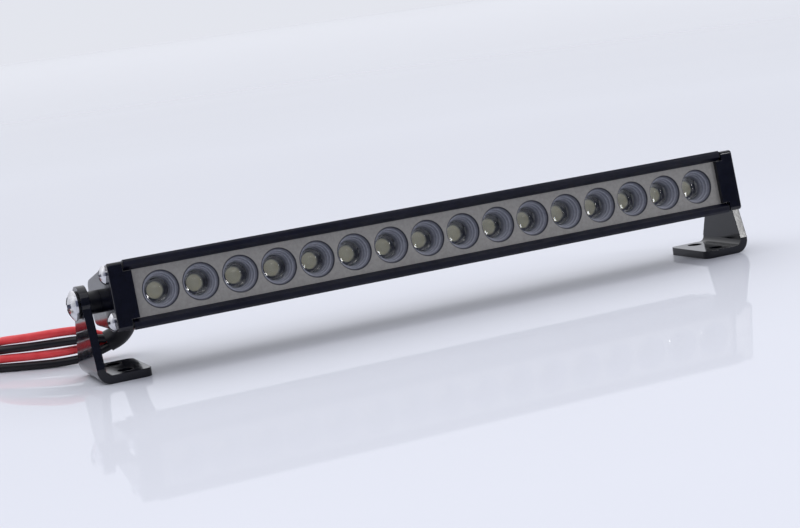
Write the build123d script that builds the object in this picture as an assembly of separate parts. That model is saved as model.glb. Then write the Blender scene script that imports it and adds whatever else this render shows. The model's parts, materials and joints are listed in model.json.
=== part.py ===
from build123d import *
import math
import os

# A small tilting LED light bar: an extruded housing with sixteen lensed LEDs in a reflector
# strip, two end caps, two L-shaped feet that swing on pivot bolts, and two pairs of leads.
# Row frame, in mm: X along the bar, Y to the back, Z up. The origin lies in the middle of the
# four foot holes, on the surface that the feet stand on. The bar itself is drawn level, round its
# pivot axis (y backwards and z upwards from the axis), and is then tilted and lifted.

# Driving dimensions
LED_COUNT = 16
LED_PITCH = 8.6
BAR_LENGTH = 149.7
FRONT_Y = -13.1
REAR_Y = 7.4
FRONT_HALF_HEIGHT = 7.2
REAR_HALF_HEIGHT = 4.8
PIVOT_HEIGHT = 16.2
TILT = 8.5

# Housing
CAP_THICKNESS = 3.0
GASKET_THICKNESS = 0.4
WINDOW_HALF_HEIGHT = 4.95
PANEL_Y = -12.0
PLATE_THICKNESS = 0.8
PLATE_HALF_HEIGHT = 5.5
CHAMBER_HALF_HEIGHT = 4.05
SLIDE_CLEARANCE = 0.05
BOARD_Y = -6.8
BOARD_THICKNESS = 1.1
PAD_THICKNESS = 0.4
PAD_WINDOW_MARGIN = 0.4
WEB_THICKNESS = 1.8
WALL = 1.2
FIN_THICKNESS = 0.9
FIN_HEIGHTS = (-2.7, -0.9, 0.9, 2.7)
GROOVE_Y = 1.4
GROOVE_RADIUS = 0.45
LIP_BEVEL = 0.5
WINDOW_BEVEL = 0.85

# Optics
CUP_RIM_RADIUS = 3.92
CUP_STEPS = ((3.75, 0.35), (3.45, 1.1), (3.1, 2.0))
CUP_FLOOR_RADIUS = 2.62
LENS_RADIUS = 2.5
LENS_SHOULDER = 1.5
LENS_CROWN = 1.9
CHIP_SIZE = 3.0
CHIP_HEIGHT = 0.35
CHIP_POCKET_RADIUS = 2.25
CHIP_POCKET_HEIGHT = 0.4
CHIP_RECESS_DEPTH = 0.15
RESISTOR_LENGTH = 2.0
RESISTOR_WIDTH = 1.2
RESISTOR_HEIGHT = 0.35
LEAD_HOLE_RADIUS = 0.45
SOLDER_BEAD_RADIUS = 0.8
SOLDER_BEAD_TIP_RADIUS = 0.3
SOLDER_BEAD_HEIGHT = 0.7
SOLDER_SPREAD = 1.0

# End caps and their screws
CAP_MARGIN = 0.12
CAP_CORNER = 0.8
CAP_REAR_CORNER = 2.4
CAP_EDGE = 0.35
TONGUE_LENGTH = 1.75
TONGUE_HALF_HEIGHT = 4.88
CAP_SCREW_Y = -9.9
CAP_SCREW_Z = 4.85
CAP_SCREW_LENGTH = 6.0
CAP_SCREW_RADIUS = 0.78
CAP_SCREW_HEAD_RADIUS = 1.95
CAP_SCREW_HEAD_HEIGHT = 1.3
SCREW_CLEARANCE = 0.02
CAP_HOLE_RADIUS = 0.9

# Pivots and brackets
SPACER_RADIUS = 2.42
SPACER_LENGTH = 2.55
PIVOT_RADIUS = 1.5
PIVOT_FIT = 0.05
FACE_GAP = 0.05
BRACKET_THICKNESS = 1.8
BEND_RADIUS = 3.0
EAR_TOP_RADIUS = 3.9
FOOT_HALF_WIDTH = 8.0
FOOT_SHOULDER_HEIGHT = 3.4
FOOT_REACH = 11.6
FOOT_CORNER = 1.6
FOOT_HOLE_X = 72.6
FOOT_HOLE_Y = 4.6
FOOT_HOLE_RADIUS = 1.7
WASHER_RADIUS = 2.9
WASHER_THICKNESS = 0.5
PIVOT_HEAD_RADIUS = 3.15
PIVOT_HEAD_HEIGHT = 1.75
PIVOT_BOLT_LENGTH = 8.0
DRIVE_DEPTH = 0.9

# Leads
EXIT_X = -64.9
POCKET_HALF_WIDTH = 3.6
POCKET_HALF_HEIGHT = 3.5
WEB_HOLE_RADIUS = 2.9
GLAND_FLANGE_RADIUS = 3.3
GLAND_FLANGE = 1.2
GLAND_BORE_RADIUS = 1.9
SLEEVE_RADIUS = 2.4
WIRE_DIAMETER = 1.9
WIRE_PITCH = 2.0
WIRE_FLOOR = 0.97
BUNDLE_OFFSET = 0.97
COIL_CENTRE = (-110.4, 39.4)
COIL_INNER_RADIUS = 7.3
COIL_ENTRY = 50.0
COIL_FLOOR = 1.5
COIL_EXIT = 200.0
TIE_ANGLE = 120.0
TIE_THICKNESS = 0.5
TIE_WIDTH = 2.4
TIE_HEAD_LENGTH = 3.2
TIE_HEAD_HEIGHT = 1.2
TIE_HEAD_LIP = 0.4
PLUG_LENGTH = 11.0
PLUG_WIDTH = 5.4
PLUG_HEIGHT = 4.4
PLUG_SPREAD = 2.9
PLUG_WIRE_OFFSET = 0.97
PLUG_SIDE_GAP = 0.1
PLUG_EDGE = 0.5
PLUG_MOUTH_DEPTH = 4.5
PLUG_WALL = 0.7
LATCH_START = 1.0
LATCH_END = 8.0
LATCH_WIDTH = 1.4
LATCH_HEIGHT = 0.6
TAIL_LENGTH = 14.0
PIN_RADIUS = 0.35
PIN_LENGTH = 3.0

HALF_LENGTH = BAR_LENGTH / 2
CAP_INNER_X = HALF_LENGTH - CAP_THICKNESS
HOUSING_END_X = CAP_INNER_X - GASKET_THICKNESS
EAR_INNER_X = HALF_LENGTH + SPACER_LENGTH + FACE_GAP
EAR_OUTER_X = EAR_INNER_X + BRACKET_THICKNESS
WASHER_X = EAR_OUTER_X + FACE_GAP
HEAD_X = WASHER_X + WASHER_THICKNESS
WEB_Y = BOARD_Y + BOARD_THICKNESS + PAD_THICKNESS
FIN_ROOT_Y = WEB_Y + WEB_THICKNESS
TAPER = (FRONT_HALF_HEIGHT - REAR_HALF_HEIGHT) / (REAR_Y - FRONT_Y)
SIDES = {"left": -1, "right": 1}
ON_BASE = (Align.CENTER, Align.CENTER, Align.MIN)


def half_height(y):
    """Half the housing's height at a depth y."""
    return FRONT_HALF_HEIGHT - TAPER * (y - FRONT_Y)


def tilted(shape):
    """Takes a shape from the bar's own level frame to the row frame."""
    return Pos(0, 0, PIVOT_HEIGHT) * Rot(-TILT, 0, 0) * shape


def tilted_point(x, y, z):
    """The same for a point."""
    angle = math.radians(TILT)
    return (
        x,
        y * math.cos(angle) + z * math.sin(angle),
        PIVOT_HEIGHT - y * math.sin(angle) + z * math.cos(angle),
    )


def prism(points, length):
    """A solid of constant (y, z) section along X, centred on x = 0."""
    section = Plane.YZ * make_face(Polyline(*points, close=True))
    return extrude(section, length / 2, both=True)


def rod(radius, x0, x1, y=0.0, z=0.0):
    """A round bar along X."""
    return Pos((x0 + x1) / 2, y, z) * Rot(0, 90, 0) * Cylinder(radius, abs(x1 - x0))


def block(x0, x1, y0, y1, z0, z1):
    """A box between two corners."""
    return Pos((x0 + x1) / 2, (y0 + y1) / 2, (z0 + z1) / 2) * Box(x1 - x0, y1 - y0, z1 - z0)


def led_x(index):
    """The centre of an LED along the bar."""
    return (index - (LED_COUNT - 1) / 2) * LED_PITCH


def write(shape, name):
    """Labels and writes one sub-part."""
    shape.label = name
    export_step(shape, f"parts/{name}.step")


def housing():
    """The extrusion: a channel open to the front between two lips, with cooling fins behind."""
    rear = half_height(REAR_Y)
    body = prism(
        [
            (FRONT_Y, FRONT_HALF_HEIGHT - LIP_BEVEL),
            (FRONT_Y + LIP_BEVEL / 2, half_height(FRONT_Y)),
            (REAR_Y, rear),
            (REAR_Y, -rear),
            (FRONT_Y + LIP_BEVEL / 2, -half_height(FRONT_Y)),
            (FRONT_Y, -FRONT_HALF_HEIGHT + LIP_BEVEL),
        ],
        2 * HOUSING_END_X,
    )
    x = HOUSING_END_X
    mouth = WINDOW_HALF_HEIGHT + WINDOW_BEVEL
    body -= prism(
        [
            (FRONT_Y, mouth),
            (PANEL_Y, WINDOW_HALF_HEIGHT),
            (PANEL_Y, -WINDOW_HALF_HEIGHT),
            (FRONT_Y, -mouth),
        ],
        BAR_LENGTH,
    )
    slot = PLATE_HALF_HEIGHT + SLIDE_CLEARANCE
    body -= block(-x, x, PANEL_Y, PANEL_Y + PLATE_THICKNESS + SLIDE_CLEARANCE, -slot, slot)
    body -= block(-x, x, PANEL_Y, WEB_Y, -CHAMBER_HALF_HEIGHT, CHAMBER_HALF_HEIGHT)
    gaps = [-half_height(FIN_ROOT_Y), *FIN_HEIGHTS, half_height(FIN_ROOT_Y)]
    for low, high in zip(gaps, gaps[1:]):
        z0 = low + FIN_THICKNESS / 2
        z1 = high - FIN_THICKNESS / 2
        rear0, rear1 = z0, z1
        if low == gaps[0]:
            z0 = -half_height(FIN_ROOT_Y) + WALL
            rear0 = -half_height(REAR_Y) + WALL
        if high == gaps[-1]:
            z1 = half_height(FIN_ROOT_Y) - WALL
            rear1 = half_height(REAR_Y) - WALL
        body -= prism(
            [(FIN_ROOT_Y, z0), (REAR_Y + 1, rear0), (REAR_Y + 1, rear1), (FIN_ROOT_Y, z1)],
            BAR_LENGTH,
        )
    for side in (-1, 1):
        body -= rod(GROOVE_RADIUS, -BAR_LENGTH, BAR_LENGTH, GROOVE_Y, side * half_height(GROOVE_Y))
        for end in (-1, 1):
            inner = end * (HALF_LENGTH - CAP_SCREW_LENGTH - 1)
            port = CAP_SCREW_RADIUS + SCREW_CLEARANCE
            body -= rod(port, inner, end * HALF_LENGTH, CAP_SCREW_Y, side * CAP_SCREW_Z)
    body -= block(
        EXIT_X - POCKET_HALF_WIDTH,
        EXIT_X + POCKET_HALF_WIDTH,
        FIN_ROOT_Y,
        REAR_Y + 1,
        -POCKET_HALF_HEIGHT,
        POCKET_HALF_HEIGHT,
    )
    body -= Pos(EXIT_X, WEB_Y, 0) * Rot(90, 0, 0) * Cylinder(WEB_HOLE_RADIUS, 4 * WEB_THICKNESS)
    return body


def cap_outline(shrink=0.0):
    """The side outline of an end cap as a face in the YZ plane."""
    front = FRONT_HALF_HEIGHT - CAP_MARGIN - shrink
    rear = REAR_HALF_HEIGHT - CAP_MARGIN / 2 - shrink
    face = make_face(
        Polyline(
            (FRONT_Y + shrink, front),
            (REAR_Y - shrink, rear),
            (REAR_Y - shrink, -rear),
            (FRONT_Y + shrink, -front),
            close=True,
        )
    )
    corners = face.vertices().sort_by(Axis.X)
    face = fillet(corners[-2:], CAP_REAR_CORNER)
    corners = face.vertices().sort_by(Axis.X)
    face = fillet(corners[:2], CAP_CORNER)
    return Plane.YZ * face


def end_cap(side):
    """An end cap: a plate with a tongue that holds the reflector strip down."""
    plate = extrude(cap_outline(), CAP_THICKNESS)
    plate = Pos(CAP_INNER_X, 0, 0) * plate
    plate = fillet(plate.faces().sort_by(Axis.X)[-1].edges(), CAP_EDGE)
    tongue = block(
        CAP_INNER_X - TONGUE_LENGTH,
        CAP_INNER_X,
        FRONT_Y,
        PANEL_Y - SLIDE_CLEARANCE,
        -TONGUE_HALF_HEIGHT,
        TONGUE_HALF_HEIGHT,
    )
    cap = plate + tongue
    cap -= rod(PIVOT_RADIUS + SCREW_CLEARANCE, 0, BAR_LENGTH)
    for z in (-CAP_SCREW_Z, CAP_SCREW_Z):
        cap -= rod(CAP_HOLE_RADIUS, 0, BAR_LENGTH, CAP_SCREW_Y, z)
    return cap if side > 0 else mirror(cap, Plane.YZ)


def end_gasket(side):
    """A thin seal between a cap and the housing's end, open where the strip runs through."""
    gasket = Pos(HOUSING_END_X, 0, 0) * extrude(cap_outline(0.3), GASKET_THICKNESS)
    reach = PANEL_Y + PLATE_THICKNESS + 2 * SLIDE_CLEARANCE
    slot = PLATE_HALF_HEIGHT + 2 * SLIDE_CLEARANCE
    gasket -= block(0, BAR_LENGTH, FRONT_Y - 1, reach, -slot, slot)
    gasket -= rod(PIVOT_RADIUS + PIVOT_FIT, 0, BAR_LENGTH)
    for z in (-CAP_SCREW_Z, CAP_SCREW_Z):
        gasket -= rod(CAP_HOLE_RADIUS, 0, BAR_LENGTH, CAP_SCREW_Y, z)
    return gasket if side > 0 else mirror(gasket, Plane.YZ)


def domed_head(radius, height, x):
    """A screw head with a domed top, its flat underside at x, pointing away from the bar."""
    sphere_radius = (radius**2 + (height * 0.75) ** 2) / (2 * height * 0.75)
    rim = rod(radius, x, x + height)
    dome = Pos(x + height - sphere_radius, 0, 0) * Sphere(sphere_radius)
    return rim & dome


def cross_slot(radius, x, depth):
    """The cross recess cut into a screw head whose top is at x."""
    arm = 0.28 * radius
    reach = 0.62 * radius
    cut = block(x - depth, x + 1, -reach, reach, -arm / 2, arm / 2)
    return cut + block(x - depth, x + 1, -arm / 2, arm / 2, -reach, reach)


def cap_screw():
    """One cap screw on the X axis, pointing into the right-hand cap."""
    head = domed_head(CAP_SCREW_HEAD_RADIUS, CAP_SCREW_HEAD_HEIGHT, HALF_LENGTH)
    head -= cross_slot(CAP_SCREW_HEAD_RADIUS, HALF_LENGTH + CAP_SCREW_HEAD_HEIGHT, DRIVE_DEPTH)
    return head + rod(CAP_SCREW_RADIUS, HALF_LENGTH - CAP_SCREW_LENGTH, HALF_LENGTH)


def cap_screws(side):
    """The two screws of one cap."""
    screw = cap_screw()
    if side < 0:
        screw = mirror(screw, Plane.YZ)
    pair = [Pos(0, CAP_SCREW_Y, z) * screw for z in (CAP_SCREW_Z, -CAP_SCREW_Z)]
    return Compound(children=pair)


def cup_cut():
    """The stepped cup of one LED, as the solid to take out of the strip, opening along -Y."""
    profile = [(0, 0), (CUP_RIM_RADIUS, 0)]
    for radius, depth in CUP_STEPS:
        profile.append((radius, depth))
        profile.append((radius - 0.12, depth + 0.02))
    floor = BOARD_Y - PANEL_Y
    profile.append((CUP_FLOOR_RADIUS, 0.75 * floor))
    profile.append((CUP_FLOOR_RADIUS, floor + 1))
    profile.append((0, floor + 1))
    section = Plane.XZ * make_face(Polyline(*profile, close=True))
    return Pos(0, PANEL_Y, 0) * Rot(-90, 0, 0) * revolve(section, Axis.Z)


def reflector_panel():
    """The strip with a round stepped cup for each LED."""
    plate_x = CAP_INNER_X - 0.1
    body_x = led_x(LED_COUNT - 1) + CUP_RIM_RADIUS + 0.1
    plate_back = PANEL_Y + PLATE_THICKNESS
    half = CHAMBER_HALF_HEIGHT - 2 * SLIDE_CLEARANCE
    panel = block(-plate_x, plate_x, PANEL_Y, plate_back, -PLATE_HALF_HEIGHT, PLATE_HALF_HEIGHT)
    panel += block(-body_x, body_x, plate_back, BOARD_Y - SLIDE_CLEARANCE, -half, half)
    for index in range(LED_COUNT):
        panel -= Pos(led_x(index), 0, 0) * cup_cut()
    return panel


def lens():
    """One clear dome over an LED, hollow over the chip, facing -Y."""
    shoulder = LENS_SHOULDER
    crown_radius = (LENS_RADIUS**2 + LENS_CROWN**2) / (2 * LENS_CROWN)
    dome = Cylinder(LENS_RADIUS, shoulder + LENS_CROWN, align=ON_BASE)
    dome &= Pos(0, 0, shoulder + LENS_CROWN - crown_radius) * Sphere(crown_radius)
    dome -= Cylinder(CHIP_POCKET_RADIUS, 2 * CHIP_POCKET_HEIGHT)
    return Pos(0, BOARD_Y, 0) * Rot(90, 0, 0) * dome


def led_chips():
    """The flat LED packages on the board, one under each lens."""
    y0 = BOARD_Y - CHIP_HEIGHT
    half = CHIP_SIZE / 2
    chip = block(-half, half, y0, BOARD_Y, -half, half)
    recess = Cylinder(0.4 * CHIP_SIZE, 2 * CHIP_RECESS_DEPTH)
    chip -= Pos(0, y0, 0) * Rot(90, 0, 0) * recess
    return Compound(children=[Pos(led_x(index), 0, 0) * chip for index in range(LED_COUNT)])


def board_half_height():
    """Half the circuit board's width."""
    return CHAMBER_HALF_HEIGHT - 2 * SLIDE_CLEARANCE


def board_end():
    """Where the circuit board ends along the bar."""
    return HOUSING_END_X - 0.5


def circuit_board():
    """The long board that carries the LEDs, notched for the lead solder pads."""
    half = board_half_height()
    end = board_end()
    back = BOARD_Y + BOARD_THICKNESS
    board = block(-end, end, BOARD_Y, back, -half, half)
    for x, z in solder_places():
        hole = Cylinder(LEAD_HOLE_RADIUS, 4 * BOARD_THICKNESS)
        board -= Pos(x, BOARD_Y, z) * Rot(90, 0, 0) * hole
    return board


def solder_places():
    """The (x, z) of the four lead holes in the board, over the hole in the web."""
    spread = (-SOLDER_SPREAD, SOLDER_SPREAD)
    return [(EXIT_X + dx, dz) for dx in spread for dz in spread]


def solder_joints():
    """The four soldered lead ends in the board's holes, each with a bead at the back."""
    back = BOARD_Y + BOARD_THICKNESS
    joint = Pos(0, BOARD_Y + BOARD_THICKNESS / 2, 0) * Rot(90, 0, 0)
    joint = joint * Cylinder(LEAD_HOLE_RADIUS - SCREW_CLEARANCE, BOARD_THICKNESS)
    bead = Cone(SOLDER_BEAD_RADIUS, SOLDER_BEAD_TIP_RADIUS, SOLDER_BEAD_HEIGHT, align=ON_BASE)
    joint += Pos(0, back, 0) * Rot(-90, 0, 0) * bead
    return Compound(children=[Pos(x, 0, z) * joint for x, z in solder_places()])


def resistor_places():
    """Where the resistors sit along the bar: after every fourth LED but the last."""
    return [led_x(index) + LED_PITCH / 2 for index in range(3, LED_COUNT - 1, 4)]


def resistors():
    """Small chip resistors on the back of the board, in the pad's windows."""
    y0 = BOARD_Y + BOARD_THICKNESS
    half = RESISTOR_LENGTH / 2
    width = RESISTOR_WIDTH / 2
    pieces = []
    for x in resistor_places():
        pieces.append(block(x - half, x + half, y0, y0 + RESISTOR_HEIGHT, -width, width))
    return Compound(children=pieces)


def thermal_pad():
    """The soft pad between the board and the housing's web, cut out over the back parts."""
    y0 = BOARD_Y + BOARD_THICKNESS
    half = board_half_height()
    end = board_end()
    pad = block(-end, end, y0, y0 + PAD_THICKNESS, -half, half)
    window = WEB_HOLE_RADIUS + PAD_WINDOW_MARGIN
    pad -= block(EXIT_X - window, EXIT_X + window, y0 - 1, y0 + 2, -half - 1, half + 1)
    along = RESISTOR_LENGTH / 2 + PAD_WINDOW_MARGIN
    across = RESISTOR_WIDTH / 2 + PAD_WINDOW_MARGIN
    for x in resistor_places():
        pad -= block(x - along, x + along, y0 - 1, y0 + 2, -across, across)
    return pad


def spacer(side):
    """The round distance piece between a cap and its bracket."""
    tube = rod(SPACER_RADIUS, HALF_LENGTH, HALF_LENGTH + SPACER_LENGTH)
    tube -= rod(PIVOT_RADIUS + PIVOT_FIT, 0, BAR_LENGTH)
    return tube if side > 0 else mirror(tube, Plane.YZ)


def washer(side):
    """The flat washer under a pivot bolt's head."""
    ring = rod(WASHER_RADIUS, WASHER_X, WASHER_X + WASHER_THICKNESS)
    ring -= rod(PIVOT_RADIUS + PIVOT_FIT, 0, BAR_LENGTH)
    return ring if side > 0 else mirror(ring, Plane.YZ)


def pivot_bolt(side):
    """The bolt that a bracket swings on, with a domed cross-recess head."""
    head = domed_head(PIVOT_HEAD_RADIUS, PIVOT_HEAD_HEIGHT, HEAD_X)
    head -= cross_slot(PIVOT_HEAD_RADIUS, HEAD_X + PIVOT_HEAD_HEIGHT, DRIVE_DEPTH)
    bolt = head + rod(PIVOT_RADIUS, HEAD_X - PIVOT_BOLT_LENGTH, HEAD_X)
    return bolt if side > 0 else mirror(bolt, Plane.YZ)


def bracket(side):
    """An L-shaped foot: an ear that tapers up to the pivot, bent inwards into a drilled foot."""
    outside = EAR_OUTER_X
    inside = EAR_INNER_X
    top = PIVOT_HEIGHT + EAR_TOP_RADIUS
    inner_bend = BEND_RADIUS - BRACKET_THICKNESS
    ell = block(outside - FOOT_REACH, outside, -FOOT_HALF_WIDTH, FOOT_HALF_WIDTH, 0, top)
    ell -= block(0, inside, -BAR_LENGTH, BAR_LENGTH, BRACKET_THICKNESS, top + 1)
    def along(corner_x, corner_z):
        edges = ell.edges().filter_by(Axis.Y)
        return edges.sort_by_distance((corner_x, 0, corner_z))[0]
    ell = fillet(along(outside, 0), BEND_RADIUS)
    ell = fillet(along(inside, BRACKET_THICKNESS), inner_bend)
    # The straight flanks run from the foot's shoulders to the round top, touching it.
    run = math.hypot(FOOT_HALF_WIDTH, PIVOT_HEIGHT - FOOT_SHOULDER_HEIGHT)
    lean = math.atan2(PIVOT_HEIGHT - FOOT_SHOULDER_HEIGHT, FOOT_HALF_WIDTH)
    touch = math.pi - lean - math.acos(EAR_TOP_RADIUS / run)
    touch_y = EAR_TOP_RADIUS * math.cos(touch)
    touch_z = PIVOT_HEIGHT + EAR_TOP_RADIUS * math.sin(touch)
    flank = make_face(
        Polyline(
            (-FOOT_HALF_WIDTH, 0),
            (-FOOT_HALF_WIDTH, FOOT_SHOULDER_HEIGHT),
            (-touch_y, touch_z),
            (touch_y, touch_z),
            (FOOT_HALF_WIDTH, FOOT_SHOULDER_HEIGHT),
            (FOOT_HALF_WIDTH, 0),
            close=True,
        )
    )
    flank += Pos(0, PIVOT_HEIGHT) * Circle(EAR_TOP_RADIUS)
    ell &= extrude(Plane.YZ * flank, BAR_LENGTH)
    upright = ell.edges().filter_by(Axis.Z).sort_by(Axis.X)[:2]
    ell = fillet(upright, FOOT_CORNER)
    for y in (-FOOT_HOLE_Y, FOOT_HOLE_Y):
        ell -= Pos(FOOT_HOLE_X, y, 0) * Cylinder(FOOT_HOLE_RADIUS, 4 * BRACKET_THICKNESS)
    ell -= rod(PIVOT_RADIUS + PIVOT_FIT, 0, BAR_LENGTH, 0, PIVOT_HEIGHT)
    return ell if side > 0 else mirror(ell, Plane.YZ)


def cable_gland():
    """The rubber bush in the web's hole that the leads pass through."""
    bush = Cylinder(WEB_HOLE_RADIUS - SCREW_CLEARANCE, WEB_THICKNESS)
    gland = Pos(EXIT_X, WEB_Y + WEB_THICKNESS / 2, 0) * Rot(90, 0, 0) * bush
    flange = Cylinder(GLAND_FLANGE_RADIUS, GLAND_FLANGE)
    gland += Pos(EXIT_X, FIN_ROOT_Y + GLAND_FLANGE / 2, 0) * Rot(90, 0, 0) * flange
    gland -= Pos(EXIT_X, WEB_Y, 0) * Rot(90, 0, 0) * Cylinder(GLAND_BORE_RADIUS, 8 * WEB_THICKNESS)
    return gland


def arc_radii(points):
    """For each corner, 0.45 of its shorter run over the tangent of half the turn."""
    vectors = [Vector(*b) - Vector(*a) for a, b in zip(points, points[1:])]
    radii = []
    for before, after in zip(vectors, vectors[1:]):
        half_turn = math.radians(before.get_angle(after)) / 2
        radii.append(0.45 * min(before.length, after.length) / math.tan(half_turn))
    return radii


def tube(points, radius, name):
    """A round tube along straight runs joined by tangent arcs. It prints its arcs and volume."""
    radii = arc_radii(points)
    path = FilletPolyline(*points, radius=radii)
    section = Plane(origin=path @ 0, z_dir=path % 0) * Circle(radius)
    solid = sweep(section, path=path)
    share = solid.volume / (math.pi * radius**2 * path.length)
    print(name, "length", round(path.length, 1), "arc radii", [round(r, 1) for r in radii])
    print(name, "volume over section times length", round(share, 4))
    return solid


# The sleeve's middle line: out of the gland, back past the fins, then down and round to the left.
SLEEVE_ROUTE = [
    tilted_point(EXIT_X, FIN_ROOT_Y + GLAND_FLANGE, 0),
    tilted_point(EXIT_X, 2.4, 0),
    tilted_point(EXIT_X, 8.0, -0.5),
    (EXIT_X, 13.9, 13.2),
    (EXIT_X, 18.5, 10.3),
    (EXIT_X, 20.8, 6.9),
    (EXIT_X - 1.5, 22.0, 4.9),
    (EXIT_X - 4.0, 22.6, 3.9),
]


def cable_sleeve():
    """The shrink sleeve that holds the leads together from the gland to below the bar."""
    return tube(SLEEVE_ROUTE, SLEEVE_RADIUS, "cable_sleeve")


# The leads' plan route, shared by all four: (x, y) of the lowest lead.
RUN_PLAN = [(-73.6, 22.6), (-79.6, 24.2), (-85.3, 28.2), (-91.5, 33.2), (-98.3, 38.7)]
# How far the stack of leads has fallen over to its right at each of those points, in degrees,
# and how far apart the leads stand in it.
RUN_FALL = [0.0, 0.0, 2.0, 16.0, 53.0]
RUN_PITCH = [0.0, 2.25, 2.08, 2.0, 2.0]
# Where each lead lies as it leaves the sleeve and turns into the stack: sideways and upwards.
FAN_OUT = [(-0.85, 1.4), (0.85, 3.35), (-0.85, 5.5), (0.85, 7.4)]
# The bundle's order where the sleeve ends: sideways and upwards, in bundle offsets.
BUNDLE_PLACES = [(-1, -1), (1, -1), (-1, 1), (1, 1)]
COIL_RADII = [COIL_INNER_RADIUS + k * WIRE_PITCH for k in range(4)]
COIL_OUTSIDE = COIL_RADII[-1] + WIRE_DIAMETER / 2 + 0.02
COIL_INSIDE = COIL_RADII[0] - WIRE_DIAMETER / 2 - 0.02


def coil_point(radius, angle, z):
    """A point of the coil at an angle in degrees."""
    turn = math.radians(angle)
    return (
        COIL_CENTRE[0] + radius * math.cos(turn),
        COIL_CENTRE[1] + radius * math.sin(turn),
        z,
    )


def lead_route(k):
    """The route of lead k (0 lowest) from the sleeve's end to where its coil begins."""
    end = Vector(*SLEEVE_ROUTE[-1])
    forward = (end - Vector(*SLEEVE_ROUTE[-2])).normalized()
    side = Vector(forward.Y, -forward.X, 0).normalized()
    up = side.cross(forward)
    across, above = BUNDLE_PLACES[k]
    start = end + side * (across * BUNDLE_OFFSET) + up * (above * BUNDLE_OFFSET)
    points = [tuple(start)]
    plan = [tuple(end)[:2], *RUN_PLAN, coil_point(COIL_RADII[0], COIL_ENTRY, 0)[:2]]
    for place, (fall, pitch) in enumerate(zip(RUN_FALL, RUN_PITCH), start=1):
        behind, here, ahead = plan[place - 1 : place + 2]
        heading = math.atan2(ahead[1] - behind[1], ahead[0] - behind[0])
        lean = math.radians(fall)
        out = pitch * k * math.sin(lean)
        z = WIRE_FLOOR + pitch * k * math.cos(lean)
        if place == 1:
            out, z = FAN_OUT[k]
        points.append((here[0] + out * math.sin(heading), here[1] - out * math.cos(heading), z))
    points.append(coil_point(COIL_RADII[k], COIL_ENTRY, COIL_FLOOR))
    return points


def tail_route(k):
    """The route of lead k from where it leaves the coil's upper layer to its plug."""
    heading = math.radians(COIL_EXIT + 90)
    ahead = (math.cos(heading), math.sin(heading))
    right = (math.sin(heading), -math.cos(heading))
    start = coil_point(COIL_RADII[k], COIL_EXIT, COIL_FLOOR + WIRE_PITCH)
    centre = coil_point(sum(COIL_RADII) / 4, COIL_EXIT, 0)
    pair = 1 if k > 1 else -1
    place = 1 if k % 2 else -1
    out = pair * PLUG_SPREAD + place * PLUG_WIRE_OFFSET
    middle_out = 0.5 * (out + (COIL_RADII[k] - sum(COIL_RADII) / 4)) + 0.12 * pair
    middle = 0.55 * TAIL_LENGTH
    return [
        start,
        (
            centre[0] + ahead[0] * middle + right[0] * middle_out,
            centre[1] + ahead[1] * middle + right[1] * middle_out,
            0.5 * (start[2] + PLUG_HEIGHT / 2) + 0.1,
        ),
        (
            centre[0] + ahead[0] * TAIL_LENGTH + right[0] * out,
            centre[1] + ahead[1] * TAIL_LENGTH + right[1] * out,
            PLUG_HEIGHT / 2,
        ),
    ]


def coil_ring():
    """The outer shape of the put-away coil: two flat layers of the four leads side by side."""
    height = WIRE_DIAMETER + WIRE_PITCH
    ring = Cylinder(COIL_OUTSIDE, height) - Cylinder(COIL_INSIDE, 2 * height)
    ring = fillet(ring.edges(), WIRE_DIAMETER / 2 * 0.8)
    z = COIL_FLOOR + WIRE_PITCH / 2
    return Pos(COIL_CENTRE[0], COIL_CENTRE[1], z) * ring


def lead(k, name, ring, sleeve, plug_body):
    """One lead: the free stretch up to the coil, and the tail from the coil to the plug."""
    run = tube(lead_route(k), WIRE_DIAMETER / 2, name) - ring - sleeve
    tail = tube(tail_route(k), WIRE_DIAMETER / 2, name + " tail") - ring - plug_body
    pieces = [max(part.solids(), key=lambda s: s.volume) for part in (run, tail)]
    return Compound(children=pieces)


def coil_tie():
    """The strap round the coil, with its small locking head on top."""
    low = COIL_FLOOR - WIRE_DIAMETER / 2 - TIE_THICKNESS
    high = COIL_FLOOR + WIRE_PITCH + WIRE_DIAMETER / 2 + TIE_THICKNESS
    half = TIE_WIDTH / 2
    band = block(
        COIL_INSIDE - TIE_THICKNESS, COIL_OUTSIDE + TIE_THICKNESS, -half, half, low, high
    )
    middle = (COIL_INSIDE + COIL_OUTSIDE) / 2
    head = block(
        middle - TIE_HEAD_LENGTH / 2,
        middle + TIE_HEAD_LENGTH / 2,
        -half - TIE_HEAD_LIP,
        half + TIE_HEAD_LIP,
        high,
        high + TIE_HEAD_HEIGHT,
    )
    strap = Pos(COIL_CENTRE[0], COIL_CENTRE[1], 0) * Rot(0, 0, TIE_ANGLE) * (band + head)
    core = Cylinder(COIL_OUTSIDE, high - low - 2 * TIE_THICKNESS)
    core -= Cylinder(COIL_INSIDE, 2 * (high - low))
    core = Pos(COIL_CENTRE[0], COIL_CENTRE[1], COIL_FLOOR + WIRE_PITCH / 2) * core
    return strap - core


def plug_frame(pair):
    """The location of a plug: its origin in the middle of the wire end, +X along the plug."""
    heading = math.radians(COIL_EXIT + 90)
    right = (math.sin(heading), -math.cos(heading))
    centre = coil_point(sum(COIL_RADII) / 4, COIL_EXIT, 0)
    x = centre[0] + math.cos(heading) * TAIL_LENGTH + right[0] * pair * PLUG_SPREAD
    y = centre[1] + math.sin(heading) * TAIL_LENGTH + right[1] * pair * PLUG_SPREAD
    return Pos(x, y, PLUG_HEIGHT / 2) * Rot(0, 0, COIL_EXIT + 90)


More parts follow.
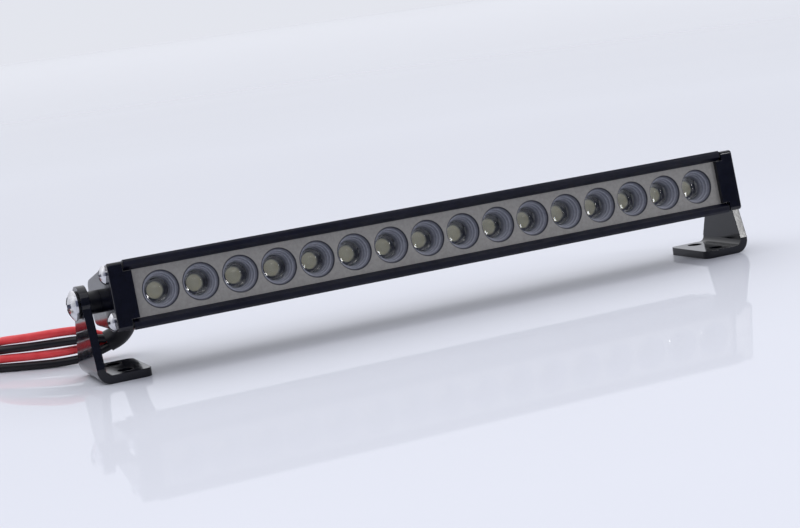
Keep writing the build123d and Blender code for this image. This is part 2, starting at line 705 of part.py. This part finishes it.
def plug(pair):
    """A small two-way plug housing, open at the front, with a latch rib on top."""
    width = PLUG_WIDTH - PLUG_SIDE_GAP
    top = PLUG_HEIGHT / 2
    body = Pos(PLUG_LENGTH / 2, 0, 0) * Box(PLUG_LENGTH, width, PLUG_HEIGHT)
    body = fillet(body.edges().filter_by(Axis.X), PLUG_EDGE)
    mouth_y = width / 2 - PLUG_WALL
    mouth_z = top - PLUG_WALL
    mouth_x = PLUG_LENGTH - PLUG_MOUTH_DEPTH
    body -= block(mouth_x, PLUG_LENGTH + 1, -mouth_y, mouth_y, -mouth_z, mouth_z)
    latch = LATCH_WIDTH / 2
    body += block(LATCH_START, LATCH_END, -latch, latch, top, top + LATCH_HEIGHT)
    return plug_frame(pair) * body


def plug_pins(pair):
    """The two contact pins inside a plug."""
    x0 = PLUG_LENGTH - PLUG_MOUTH_DEPTH
    pins = [rod(PIN_RADIUS, x0, x0 + PIN_LENGTH, y, 0) for y in (-PLUG_WIRE_OFFSET, PLUG_WIRE_OFFSET)]
    return Compound(children=[plug_frame(pair) * pin for pin in pins])


def main():
    """Builds and writes every sub-part."""
    os.makedirs("parts", exist_ok=True)
    write(tilted(housing()), "housing")
    write(tilted(reflector_panel()), "reflector_panel")
    for index in range(LED_COUNT):
        write(tilted(Pos(led_x(index), 0, 0) * lens()), f"led_lens_{index + 1:02d}")
    write(tilted(led_chips()), "led_chips")
    write(tilted(circuit_board()), "circuit_board")
    write(tilted(solder_joints()), "solder_joints")
    write(tilted(resistors()), "resistors")
    write(tilted(thermal_pad()), "thermal_pad")
    write(tilted(cable_gland()), "cable_gland")
    sleeve = cable_sleeve()
    write(sleeve, "cable_sleeve")
    for name, side in SIDES.items():
        write(tilted(end_cap(side)), f"end_cap_{name}")
        write(tilted(end_gasket(side)), f"end_gasket_{name}")
        write(tilted(cap_screws(side)), f"cap_screws_{name}")
        write(tilted(spacer(side)), f"spacer_{name}")
        write(tilted(washer(side)), f"washer_{name}")
        write(tilted(pivot_bolt(side)), f"pivot_bolt_{name}")
        write(bracket(side), f"bracket_{name}")
    ring = coil_ring()
    write(ring, "lead_coil")
    write(coil_tie(), "coil_tie")
    for name, pair, first in (("b", -1, 0), ("a", 1, 2)):
        body = plug(pair)
        write(body, f"plug_{name}")
        write(plug_pins(pair), f"plug_pins_{name}")
        for k, colour in ((first, "black"), (first + 1, "red")):
            lead_name = f"{colour}_lead_{name}"
            write(lead(k, lead_name, ring, sleeve, body), lead_name)


main()
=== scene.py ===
import json
import math

import bmesh
import bpy
from mathutils import Matrix, Vector


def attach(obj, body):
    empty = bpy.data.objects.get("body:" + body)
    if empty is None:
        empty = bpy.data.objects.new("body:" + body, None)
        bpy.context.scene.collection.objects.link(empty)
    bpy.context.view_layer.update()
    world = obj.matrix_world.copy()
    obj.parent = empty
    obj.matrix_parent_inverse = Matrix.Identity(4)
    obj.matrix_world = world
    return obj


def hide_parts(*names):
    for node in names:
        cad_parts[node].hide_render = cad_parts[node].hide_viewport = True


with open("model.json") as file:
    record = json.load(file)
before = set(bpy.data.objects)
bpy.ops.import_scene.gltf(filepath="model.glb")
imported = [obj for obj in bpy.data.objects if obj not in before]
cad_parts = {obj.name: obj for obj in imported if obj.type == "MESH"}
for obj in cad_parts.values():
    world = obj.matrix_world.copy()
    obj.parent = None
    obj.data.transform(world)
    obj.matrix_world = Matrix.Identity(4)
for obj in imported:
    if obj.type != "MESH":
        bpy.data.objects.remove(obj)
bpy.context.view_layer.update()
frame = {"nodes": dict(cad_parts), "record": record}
MM = 0.001

# The bar's own numbers, repeated from the CAD model, in millimetres.
LED_COUNT = 16
LED_PITCH = 8.6
PIVOT_HEIGHT = 16.2
TILT = math.radians(8.5)
EXIT_X = -64.9
WIRE_RADIUS = 0.95
WIRE_PITCH = 2.0
WIRE_FLOOR = 0.97
COIL_CENTRE = (-110.4, 39.4)
COIL_INNER_RADIUS = 7.3
COIL_RADII = [COIL_INNER_RADIUS + k * WIRE_PITCH for k in range(4)]
COIL_FLOOR = 1.5


def tilted(x, y, z):
    """A point of the bar's own level frame, in the row frame, in metres."""
    c, s = math.cos(TILT), math.sin(TILT)
    return Vector((x, y * c + z * s, PIVOT_HEIGHT - y * s + z * c)) * MM


# ---------------------------------------------------------------- camera

CAMERA_PLACE = (-0.1612, -0.3689, 0.0680)
CAMERA_RIGHT = (0.906611, -0.400403, -0.133168)
CAMERA_UP = (0.177393, 0.075312, 0.981254)
CAMERA_BACK = (-0.382868, -0.913239, 0.139308)
SENSOR_WIDTH = 36
FOCAL_LENGTH = 81.89


def add_camera():
    """The viewpoint low in front of the bar, a little to its left, slightly rolled."""
    data = bpy.data.cameras.new("camera")
    cam = bpy.data.objects.new("camera", data)
    bpy.context.collection.objects.link(cam)
    data.sensor_width = SENSOR_WIDTH
    data.lens = FOCAL_LENGTH
    data.clip_start = 0.01
    data.clip_end = 50
    turn = Matrix((CAMERA_RIGHT, CAMERA_UP, CAMERA_BACK)).transposed()
    cam.matrix_world = Matrix.Translation(CAMERA_PLACE) @ turn.to_4x4()
    bpy.context.scene.camera = cam


add_camera()

# ---------------------------------------------------------------- materials


BEVEL_SAMPLES = 6


class Mat:
    """A small helper round one node material."""

    def __init__(self, name, color, roughness, metallic=0.0, **sockets):
        self.mat = bpy.data.materials.new(name)
        self.mat.use_nodes = True
        self.tree = self.mat.node_tree
        self.bsdf = self.tree.nodes["Principled BSDF"]
        self.bsdf.inputs["Base Color"].default_value = (*color, 1)
        self.bsdf.inputs["Roughness"].default_value = roughness
        self.bsdf.inputs["Metallic"].default_value = metallic
        for key, value in sockets.items():
            self.bsdf.inputs[key.replace("_", " ")].default_value = value

    def node(self, kind, **inputs):
        made = self.tree.nodes.new(kind)
        for key, value in inputs.items():
            made.inputs[key.replace("_", " ")].default_value = value
        return made

    def link(self, a, b):
        self.tree.links.new(a, b)

    def place(self, scale=(1, 1, 1)):
        coord = self.node("ShaderNodeTexCoord")
        mapping = self.node("ShaderNodeMapping")
        mapping.inputs["Scale"].default_value = scale
        self.link(coord.outputs["Object"], mapping.inputs["Vector"])
        return mapping.outputs["Vector"]

    def noise(self, scale, detail=3.0, rough=0.55, stretch=(1, 1, 1)):
        made = self.node("ShaderNodeTexNoise", Scale=scale, Detail=detail, Roughness=rough)
        self.link(self.place(stretch), made.inputs["Vector"])
        return made.outputs["Fac"]

    def ramp(self, value, low, high, at=(0.35, 0.65)):
        """A value spread between two colours or two plain levels."""
        made = self.node("ShaderNodeValToRGB")
        for stop, position, level in zip(made.color_ramp.elements, at, (low, high)):
            color = (level,) * 3 if isinstance(level, (int, float)) else level
            stop.position = position
            stop.color = (*color, 1)
        self.link(value, made.inputs["Fac"])
        return made.outputs["Color"]

    def vary_color(self, value, low, high, at=(0.35, 0.65)):
        self.link(self.ramp(value, low, high, at), self.bsdf.inputs["Base Color"])

    def vary_roughness(self, value, low, high, at=(0.35, 0.65)):
        self.link(self.ramp(value, low, high, at), self.bsdf.inputs["Roughness"])

    def calc(self, operation, *values):
        made = self.tree.nodes.new("ShaderNodeMath")
        made.operation = operation
        for socket, value in zip(made.inputs, values):
            if isinstance(value, (int, float)):
                socket.default_value = value
            else:
                self.link(value, socket)
        return made.outputs[0]

    def led_distance(self):
        """How far a point lies from the axis of the nearest LED, in millimetres."""
        coord = self.node("ShaderNodeTexCoord")
        level = self.node("ShaderNodeMapping")
        level.inputs["Rotation"].default_value = (TILT, 0, 0)
        level.inputs["Location"].default_value = (
            0,
            math.sin(TILT) * PIVOT_HEIGHT * MM,
            -math.cos(TILT) * PIVOT_HEIGHT * MM,
        )
        self.link(coord.outputs["Object"], level.inputs["Vector"])
        split = self.node("ShaderNodeSeparateXYZ")
        self.link(level.outputs["Vector"], split.inputs["Vector"])
        place = self.calc("DIVIDE", split.outputs["X"], LED_PITCH * MM)
        index = self.calc("FLOOR", place)
        index = self.calc("MINIMUM", index, LED_COUNT / 2 - 1)
        index = self.calc("MAXIMUM", index, -LED_COUNT / 2)
        off_axis = self.calc("SUBTRACT", self.calc("SUBTRACT", place, index), 0.5)
        across = self.calc("MULTIPLY", off_axis, LED_PITCH)
        upward = self.calc("DIVIDE", split.outputs["Z"], MM)
        across_squared = self.calc("MULTIPLY", across, across)
        upward_squared = self.calc("MULTIPLY", upward, upward)
        return self.calc("SQRT", self.calc("ADD", across_squared, upward_squared))

    def stops(self, value, pairs):
        """A colour ramp with any number of (position, colour) stops."""
        made = self.node("ShaderNodeValToRGB")
        line = made.color_ramp
        line.elements[0].position, line.elements[1].position = pairs[0][0], pairs[-1][0]
        line.elements[0].color, line.elements[1].color = (*pairs[0][1], 1), (*pairs[-1][1], 1)
        for position, color in pairs[1:-1]:
            line.elements.new(position).color = (*color, 1)
        self.link(value, made.inputs["Fac"])
        return made.outputs["Color"]

    def bump(self, value, strength, distance, edge=0.0):
        """Fine relief, and on hard pieces an edge softened over that many metres."""
        made = self.node("ShaderNodeBump", Strength=strength, Distance=distance)
        if edge:
            soft = self.node("ShaderNodeBevel", Radius=edge)
            soft.samples = BEVEL_SAMPLES
            self.link(soft.outputs["Normal"], made.inputs["Normal"])
        self.link(value, made.inputs["Height"])
        self.link(made.outputs["Normal"], self.bsdf.inputs["Normal"])


def lin(r, g, b):
    """Screen values 0 to 255 to linear light."""
    return tuple((v / 255 / 12.92) if v < 10.3 else ((v / 255 + 0.055) / 1.055) ** 2.4 for v in (r, g, b))


def anodised():
    # black anodising; the blue in these colours is a painted reflection of the bluish room, the
    # near-black is the metal's own
    m = Mat("anodised_black", lin(12, 14, 28), 0.36, 0.0, Specular_IOR_Level=0.36)
    m.vary_color(m.noise(900, 4), lin(8, 10, 24), lin(15, 17, 34))
    m.vary_roughness(m.noise(260, 4, 0.6, (0.25, 1, 1)), 0.30, 0.42)
    m.bump(m.noise(2600, 3, 0.6, (0.12, 1, 1)), 0.10, 0.00004, 0.00018)
    return m.mat


def gloss_black(name, rough=0.16, shine=0.45):
    # gloss black; the blue in these colours is a painted reflection of the bluish room, the near-black is
    # the parts' own
    m = Mat(name, lin(10, 12, 22), rough, 0.0, Specular_IOR_Level=shine)
    m.vary_color(m.noise(700, 3), lin(7, 8, 17), lin(12, 14, 26))
    m.vary_roughness(m.noise(420, 4), rough - 0.04, rough + 0.06)
    m.bump(m.noise(1500, 3), 0.08, 0.00003, 0.00015)
    return m.mat


# Radii of the painted highlight and shade bands of the turned steps in a reflector cup, as shares of
# RING_SPAN millimetres from the LED's axis.
RING_SPAN = 8.0
RING_START = 0.320
RING_STEP = 0.0175
RING_COUNT = 8
RING_WAVES = 20.0
RING_RELIEF = 0.24


def reflector():
    """Grained warm grey; in each cup bluish turned rings in relief, their steps' light and shade painted
    as alternating bands, and a painted shade line round the cup's edge.
    """
    m = Mat("reflector_grey", lin(146, 143, 136), 0.40, 0.15)
    away = m.led_distance()
    rings = m.calc("MULTIPLY", m.calc("SINE", m.calc("MULTIPLY", away, RING_WAVES)), RING_RELIEF)
    place = m.calc("DIVIDE", away, RING_SPAN)
    # light and dark alternate as painted highlight and painted shade on the cup's turned steps; the
    # darker one also fills the middle of the cup
    light, dark = lin(186, 188, 196), lin(142, 144, 155)
    # a painted shade line round the edge of each cup; face is the panel's own warm grey
    painted_rim_shade, face = lin(56, 57, 64), lin(162, 159, 153)
    stops = [(0.0, dark), (0.300, dark)]
    stops += [(RING_START + RING_STEP * i, dark if i % 2 else light) for i in range(RING_COUNT)]
    stops += [(0.474, painted_rim_shade), (0.488, painted_rim_shade), (0.500, face), (1.0, face)]
    tint = m.stops(place, stops)
    grain = m.ramp(m.noise(1400, 4, 0.7), 0.82, 1.0)
    mix = m.node("ShaderNodeMixRGB", Fac=1.0)
    mix.blend_type = "MULTIPLY"
    m.link(tint, mix.inputs["Color1"])
    m.link(grain, mix.inputs["Color2"])
    m.link(mix.outputs["Color"], m.bsdf.inputs["Base Color"])
    m.vary_roughness(m.noise(900, 4), 0.34, 0.46)
    m.bump(m.calc("ADD", m.noise(2600, 4, 0.7), rings), 0.25, 0.00004)
    return m.mat


def clear_lens():
    m = Mat("clear_lens", (0.97, 0.98, 0.97), 0.015, 0.0, IOR=1.47, Transmission_Weight=1.0)
    m.vary_roughness(m.noise(800, 3), 0.01, 0.03)
    return m.mat


def steel():
    m = Mat("screw_steel", lin(205, 205, 208), 0.14, 1.0)
    m.vary_color(m.noise(900, 4), lin(196, 196, 200), lin(216, 216, 219))
    m.vary_roughness(m.noise(1200, 4), 0.10, 0.20)
    m.bump(m.noise(2500, 3), 0.10, 0.00003)
    return m.mat


def insulation(name, low, high):
    m = Mat(name, low, 0.33, 0.0, Specular_IOR_Level=0.35)
    m.vary_color(m.noise(350, 3), low, high)
    m.vary_roughness(m.noise(900, 3), 0.28, 0.40)
    m.bump(m.noise(1800, 3), 0.12, 0.00004)
    return m.mat


def rubber(name, low, high, rough=0.5, shine=0.5):
    m = Mat(name, low, rough, 0.0, Specular_IOR_Level=shine)
    m.vary_color(m.noise(600, 3), low, high)
    m.vary_roughness(m.noise(900, 3), rough - 0.06, rough + 0.08)
    m.bump(m.noise(2200, 4), 0.15, 0.00005)
    return m.mat


def plain_metal(name, low, high, rough, metallic=1.0):
    m = Mat(name, low, rough, metallic)
    m.vary_color(m.noise(1100, 3), low, high)
    m.vary_roughness(m.noise(1300, 3), rough - 0.05, rough + 0.08)
    return m.mat


# The LED package's stops are shares of this many millimetres from its axis.
PACKAGE_SPAN = 4.0


def led_package():
    """A dark package round a pale yellowish phosphor in the middle of each LED."""
    m = Mat("led_package", lin(60, 60, 64), 0.45, 0.0)
    away = m.calc("ADD", m.led_distance(), m.calc("MULTIPLY", m.noise(2500, 3), 0.10))
    middle, edge, fringe = lin(250, 244, 212), lin(238, 230, 192), lin(150, 147, 130)
    frame_in, frame_out = lin(34, 35, 42), lin(28, 29, 36)
    stops = [(0.0, middle), (0.25, edge), (0.28, fringe), (0.31, frame_in), (0.6, frame_out)]
    m.link(m.stops(m.calc("DIVIDE", away, PACKAGE_SPAN), stops), m.bsdf.inputs["Base Color"])
    m.vary_roughness(m.noise(900, 3), 0.38, 0.52)
    return m.mat


MATS = {
    "anodised_black": anodised(),
    "cap_black": gloss_black("cap_black", 0.13),
    "bracket_black": gloss_black("bracket_black", 0.09),
    "spacer_black": gloss_black("spacer_black", 0.34, 0.3),
    "washer_black": plain_metal("washer_black", lin(26, 26, 30), lin(38, 38, 42), 0.3, 0.6),
    "gasket_rubber": rubber("gasket_rubber", lin(14, 14, 15), lin(22, 22, 24)),
    "screw_steel": steel(),
    "reflector_grey": reflector(),
    "clear_lens": clear_lens(),
    "led_package": led_package(),
    "board_white": rubber("board_white", lin(206, 206, 200), lin(216, 216, 212), 0.35),
    "solder": plain_metal("solder", lin(170, 170, 172), lin(196, 196, 198), 0.28),
    "chip_black": rubber("chip_black", lin(24, 24, 26), lin(36, 36, 38), 0.4),
    "pad_blue": rubber("pad_blue", lin(120, 140, 168), lin(138, 156, 180), 0.7),
    "bush_rubber": rubber("bush_rubber", lin(16, 16, 18), lin(26, 26, 28)),
    # black heat shrink; part of its darkness is painted shade for the shadow it lies in
    "shrink_sleeve": rubber("shrink_sleeve", lin(8, 9, 14), lin(16, 17, 24), 0.44, 0.3),
    "red_insulation": insulation("red_insulation", lin(232, 64, 68), lin(241, 78, 82)),
    "black_insulation": insulation("black_insulation", lin(9, 9, 14), lin(18, 18, 26)),
    "tie_nylon": rubber("tie_nylon", lin(22, 22, 24), lin(32, 32, 34), 0.42),
    "plug_nylon": rubber("plug_nylon", lin(222, 218, 204), lin(232, 229, 218), 0.42),
    "pin_brass": plain_metal("pin_brass", lin(205, 170, 90), lin(225, 192, 116), 0.25),
}
SLOTS = {p["node"]: p["material_slot"] for p in frame["record"]["subparts"]}
for node, obj in frame["nodes"].items():
    obj.data.materials.clear()
    obj.data.materials.append(MATS[SLOTS[node]])

# ---------------------------------------------------------------- leads

SLEEVE_ROUTE = [
    tilted(EXIT_X, -2.3, 0),
    tilted(EXIT_X, 2.4, 0),
    tilted(EXIT_X, 8.0, -0.5),
    Vector((EXIT_X, 13.9, 13.2)) * MM,
    Vector((EXIT_X, 18.5, 10.3)) * MM,
    Vector((EXIT_X, 20.8, 6.9)) * MM,
    Vector((EXIT_X - 1.5, 22.0, 4.9)) * MM,
    Vector((EXIT_X - 4.0, 22.6, 3.9)) * MM,
]
RUN_PLAN = [(-73.6, 22.6), (-79.6, 24.2), (-85.3, 28.2), (-91.5, 33.2), (-98.3, 38.7)]
RUN_FALL = [0.0, 0.0, 2.0, 16.0, 53.0]
RUN_PITCH = [0.0, 2.25, 2.08, 2.0, 2.0]
FAN_OUT = [(-0.85, 1.4), (0.85, 3.35), (-0.85, 5.5), (0.85, 7.4)]
BUNDLE = [(-0.97, -0.97), (0.97, -0.97), (-0.97, 0.97), (0.97, 0.97)]
COIL_ENTRY = 50.0
COIL_TURN = 510.0
COIL_STEP = 15.0
CLIMB_START = 312
CLIMB_LENGTH = 40
TAIL = 14.0
TAIL_MIDDLE = 0.55
TAIL_SPREAD = 0.12
TAIL_LIFT = 0.1
PLUG_MIDDLE_HEIGHT = 2.2
PLUG_HALF_PITCH = 2.9
PLUG_WIRE_OFFSET = 0.97


def coil_point(radius, angle, z):
    a = math.radians(angle)
    return Vector((COIL_CENTRE[0] + radius * math.cos(a), COIL_CENTRE[1] + radius * math.sin(a), z)) * MM


def free_run(k):
    """Lead k from the sleeve's end to the coil's first point."""
    end, before = SLEEVE_ROUTE[-1], SLEEVE_ROUTE[-2]
    ahead = (end - before).normalized()
    side = Vector((ahead.y, -ahead.x, 0)).normalized()
    up = side.cross(ahead)
    points = [end + (side * BUNDLE[k][0] + up * BUNDLE[k][1]) * MM]
    entry = coil_point(COIL_RADII[0], COIL_ENTRY, 0) / MM
    plan = [(end.x / MM, end.y / MM), *RUN_PLAN, (entry.x, entry.y)]
    for i, (fall, pitch) in enumerate(zip(RUN_FALL, RUN_PITCH), start=1):
        heading = math.atan2(plan[i + 1][1] - plan[i - 1][1], plan[i + 1][0] - plan[i - 1][0])
        lean = math.radians(fall)
        out = pitch * k * math.sin(lean)
        z = WIRE_FLOOR + pitch * k * math.cos(lean)
        if i == 1:
            out, z = FAN_OUT[k]
        x = plan[i][0] + out * math.sin(heading)
        y = plan[i][1] - out * math.cos(heading)
        points.append(Vector((x, y, z)) * MM)
    return points


def coil_run(k):
    """The coil's turns: one on the lower layer, then a climb, then the rest on the upper layer."""
    points = []
    grow = 1 / math.cos(math.radians(COIL_STEP / 2))
    steps = int(COIL_TURN / COIL_STEP)
    for i in range(steps + 1):
        angle = COIL_ENTRY + i * COIL_STEP
        climb = min(1.0, max(0.0, (i * COIL_STEP - CLIMB_START) / CLIMB_LENGTH))
        climb = climb * climb * (3 - 2 * climb)
        points.append(coil_point(COIL_RADII[k] * grow, angle, COIL_FLOOR + WIRE_PITCH * climb))
    return points


def tail_run(k):
    """The way from the coil's upper layer to the plug."""
    exit_angle = COIL_ENTRY + COIL_TURN
    heading = math.radians(exit_angle + 90)
    ahead = Vector((math.cos(heading), math.sin(heading), 0))
    right = Vector((math.sin(heading), -math.cos(heading), 0))
    mean = sum(COIL_RADII) / 4
    centre = coil_point(mean, exit_angle, 0)
    pair = 1 if k > 1 else -1
    out = pair * PLUG_HALF_PITCH + (PLUG_WIRE_OFFSET if k % 2 else -PLUG_WIRE_OFFSET)
    middle_out = 0.5 * (out + COIL_RADII[k] - mean) + TAIL_SPREAD * pair
    middle_z = 0.5 * (COIL_FLOOR + WIRE_PITCH + PLUG_MIDDLE_HEIGHT) + TAIL_LIFT
    shift = ahead * TAIL_MIDDLE * TAIL + right * middle_out
    middle = centre + shift * MM + Vector((0, 0, middle_z * MM))
    last = centre + (ahead * TAIL + right * out) * MM + Vector((0, 0, PLUG_MIDDLE_HEIGHT * MM))
    return [middle, last]


def nurbs(name, points, radius, material):
    data = bpy.data.curves.new(name, "CURVE")
    data.dimensions = "3D"
    data.bevel_depth = radius * MM
    data.bevel_resolution = 6
    data.resolution_u = 10
    data.use_fill_caps = True
    spline = data.splines.new("NURBS")
    spline.points.add(len(points) - 1)
    for target, p in zip(spline.points, points):
        target.co = (*p, 1)
    spline.order_u = 3
    spline.use_endpoint_u = True
    obj = bpy.data.objects.new(name, data)
    bpy.context.collection.objects.link(obj)
    data.materials.append(material)
    return obj


def curve_length(points):
    """The length of the spline through control points, from an unbevelled copy."""
    curve = nurbs("measure", points, 0, MATS["black_insulation"])
    bpy.context.view_layer.update()
    mesh = bpy.data.meshes.new_from_object(curve.evaluated_get(bpy.context.evaluated_depsgraph_get()))
    line = [v.co.copy() for v in mesh.vertices]
    bpy.data.objects.remove(curve)
    bpy.data.meshes.remove(mesh)
    return sum((b - a).length for a, b in zip(line, line[1:]))


LEADS = ["black_lead_b", "red_lead_b", "black_lead_a", "red_lead_a"]
for k, lead_name in enumerate(LEADS):
    route = free_run(k) + coil_run(k) + tail_run(k)
    colour = "red_insulation" if lead_name.startswith("red") else "black_insulation"
    lead = nurbs(lead_name + "_flex", route, WIRE_RADIUS, MATS[colour])
    length = curve_length(route)
    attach(lead, "light_bar")
    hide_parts(lead_name, *(["lead_coil"] if k == 0 else []))

# ---------------------------------------------------------------- floor, light

FLOOR_SIZE = 24.0


def add_floor():
    """A wide pale floor with a slight shine."""
    data = bpy.data.meshes.new("floor")
    bm = bmesh.new()
    bmesh.ops.create_grid(bm, x_segments=8, y_segments=8, size=FLOOR_SIZE)
    bm.to_mesh(data)
    bm.free()
    floor = bpy.data.objects.new("floor", data)
    bpy.context.collection.objects.link(floor)
    m = Mat("floor", lin(226, 230, 240), 0.05, 0.0, IOR=1.08)
    m.vary_color(m.noise(4, 2), lin(227, 229, 236), lin(228, 230, 237))
    m.vary_roughness(m.noise(3, 1), 0.030, 0.036)
    data.materials.append(m.mat)


def area_light(name, place, aim, size, power):
    data = bpy.data.lights.new(name, "AREA")
    data.shape = "RECTANGLE"
    data.size, data.size_y = size
    data.energy = power
    lamp = bpy.data.objects.new(name, data)
    bpy.context.collection.objects.link(lamp)
    lamp.location = place
    lamp.rotation_euler = (Vector(aim) - Vector(place)).to_track_quat("-Z", "Y").to_euler()


def add_sun(name, toward, strength, spread):
    data = bpy.data.lights.new(name, "SUN")
    data.energy = strength
    data.angle = math.radians(spread)
    lamp = bpy.data.objects.new(name, data)
    bpy.context.collection.objects.link(lamp)
    lamp.rotation_euler = Vector(toward).to_track_quat("-Z", "Y").to_euler()


SKY_STRENGTH = 1.35


def add_world():
    """A pale studio behind and above the bar, with a darker room in front of it."""
    bpy.context.scene.view_settings.view_transform = "Standard"
    world = bpy.data.worlds.new("studio")
    bpy.context.scene.world = world
    world.use_nodes = True
    tree = world.node_tree
    coord = tree.nodes.new("ShaderNodeTexCoord")
    split = tree.nodes.new("ShaderNodeSeparateXYZ")
    tree.links.new(coord.outputs["Generated"], split.inputs["Vector"])

    def fade(axis, low, high, at):
        """A change from one colour to another along one direction of the sky."""
        ramp = tree.nodes.new("ShaderNodeValToRGB")
        remap = tree.nodes.new("ShaderNodeMapRange")
        remap.inputs["From Min"].default_value = at[0]
        remap.inputs["From Max"].default_value = at[1]
        tree.links.new(split.outputs[axis], remap.inputs["Value"])
        tree.links.new(remap.outputs["Result"], ramp.inputs["Fac"])
        ramp.color_ramp.elements[0].color = (*low, 1)
        ramp.color_ramp.elements[1].color = (*high, 1)
        return ramp.outputs["Color"]

    sky = fade("Z", lin(199, 201, 208), lin(248, 249, 253), (0.12, 0.60))
    depth = fade("Y", lin(96, 100, 119), lin(255, 255, 255), (-0.45, 0.15))
    mix = tree.nodes.new("ShaderNodeMixRGB")
    mix.blend_type = "MULTIPLY"
    mix.inputs["Fac"].default_value = 1.0
    tree.links.new(sky, mix.inputs["Color1"])
    tree.links.new(depth, mix.inputs["Color2"])
    tree.links.new(mix.outputs["Color"], tree.nodes["Background"].inputs["Color"])
    tree.nodes["Background"].inputs["Strength"].default_value = SKY_STRENGTH


add_floor()
add_world()
add_sun("key", (0.25, 0.55, -1.0), 0.60, 60)
area_light("strip", (-0.30, -0.45, 0.55), (0, 0, 0.015), (0.35, 0.10), 0.30)
area_light("sparkle", (0.40, -0.48, 0.30), (0.03, 0, 0.015), (0.05, 0.15), 0.38)
